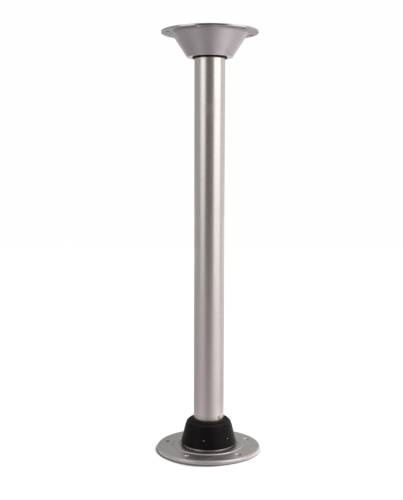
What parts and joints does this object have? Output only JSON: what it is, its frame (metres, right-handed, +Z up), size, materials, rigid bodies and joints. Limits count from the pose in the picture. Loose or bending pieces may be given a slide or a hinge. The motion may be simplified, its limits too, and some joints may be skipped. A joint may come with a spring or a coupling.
{
  "type": "table pedestal",
  "caption": "Removable table pedestal: a leg tube that stands in a tapered socket on a round floor plate and carries a conical, flanged table mount.",
  "frame": {"origin": "on the floor, at the centre of the floor plate's underside", "axes": "+Z up along the leg; -Y is the side that the picture was taken from"},
  "size_m": [0.1762, 0.1762, 0.706],
  "materials": {
    "turned_aluminium": "turned and polished",
    "black_nylon": "satin moulded",
    "stainless_steel": "satin",
    "satin_anodised": "satin anodised",
    "cast_aluminium": "cast, fine blasted"
  },
  "bodies": {
    "floor_base": {"floor_plate": "turned_aluminium", "socket_collar": "black_nylon", "collar_screws": "stainless_steel", "socket_pivot_screw": "stainless_steel", "socket_pivot_washer": "stainless_steel"},
    "socket_swivel": {"socket_bush": "black_nylon"},
    "leg": {"leg_tube": "satin_anodised", "foot_plug": "black_nylon", "foot_rivets": "satin_anodised", "head_plug": "black_nylon"},
    "mount_swivel": {"mount_bush": "black_nylon"},
    "table_top_mount": {"table_mount": "cast_aluminium", "mount_cup": "cast_aluminium", "mount_pivot_screw": "stainless_steel", "mount_pivot_washer": "stainless_steel"}
  },
  "joints": [
    {"name": "leg_turn", "type": "hinge", "parent": "floor_base", "child": "socket_swivel", "pos_m": [0, 0, 0.007], "axis": [0, 0, 1], "continuous": true},
    {"name": "leg_lift", "type": "slide", "parent": "socket_swivel", "child": "leg", "axis": [0, 0, 1], "range_m": [0, 0.06]},
    {"name": "mount_lift", "type": "slide", "parent": "leg", "child": "mount_swivel", "axis": [0, 0, 1], "range_m": [0, 0.05]},
    {"name": "mount_turn", "type": "hinge", "parent": "mount_swivel", "child": "table_top_mount", "pos_m": [0, 0, 0.701], "axis": [0, 0, 1], "continuous": true}
  ]
}
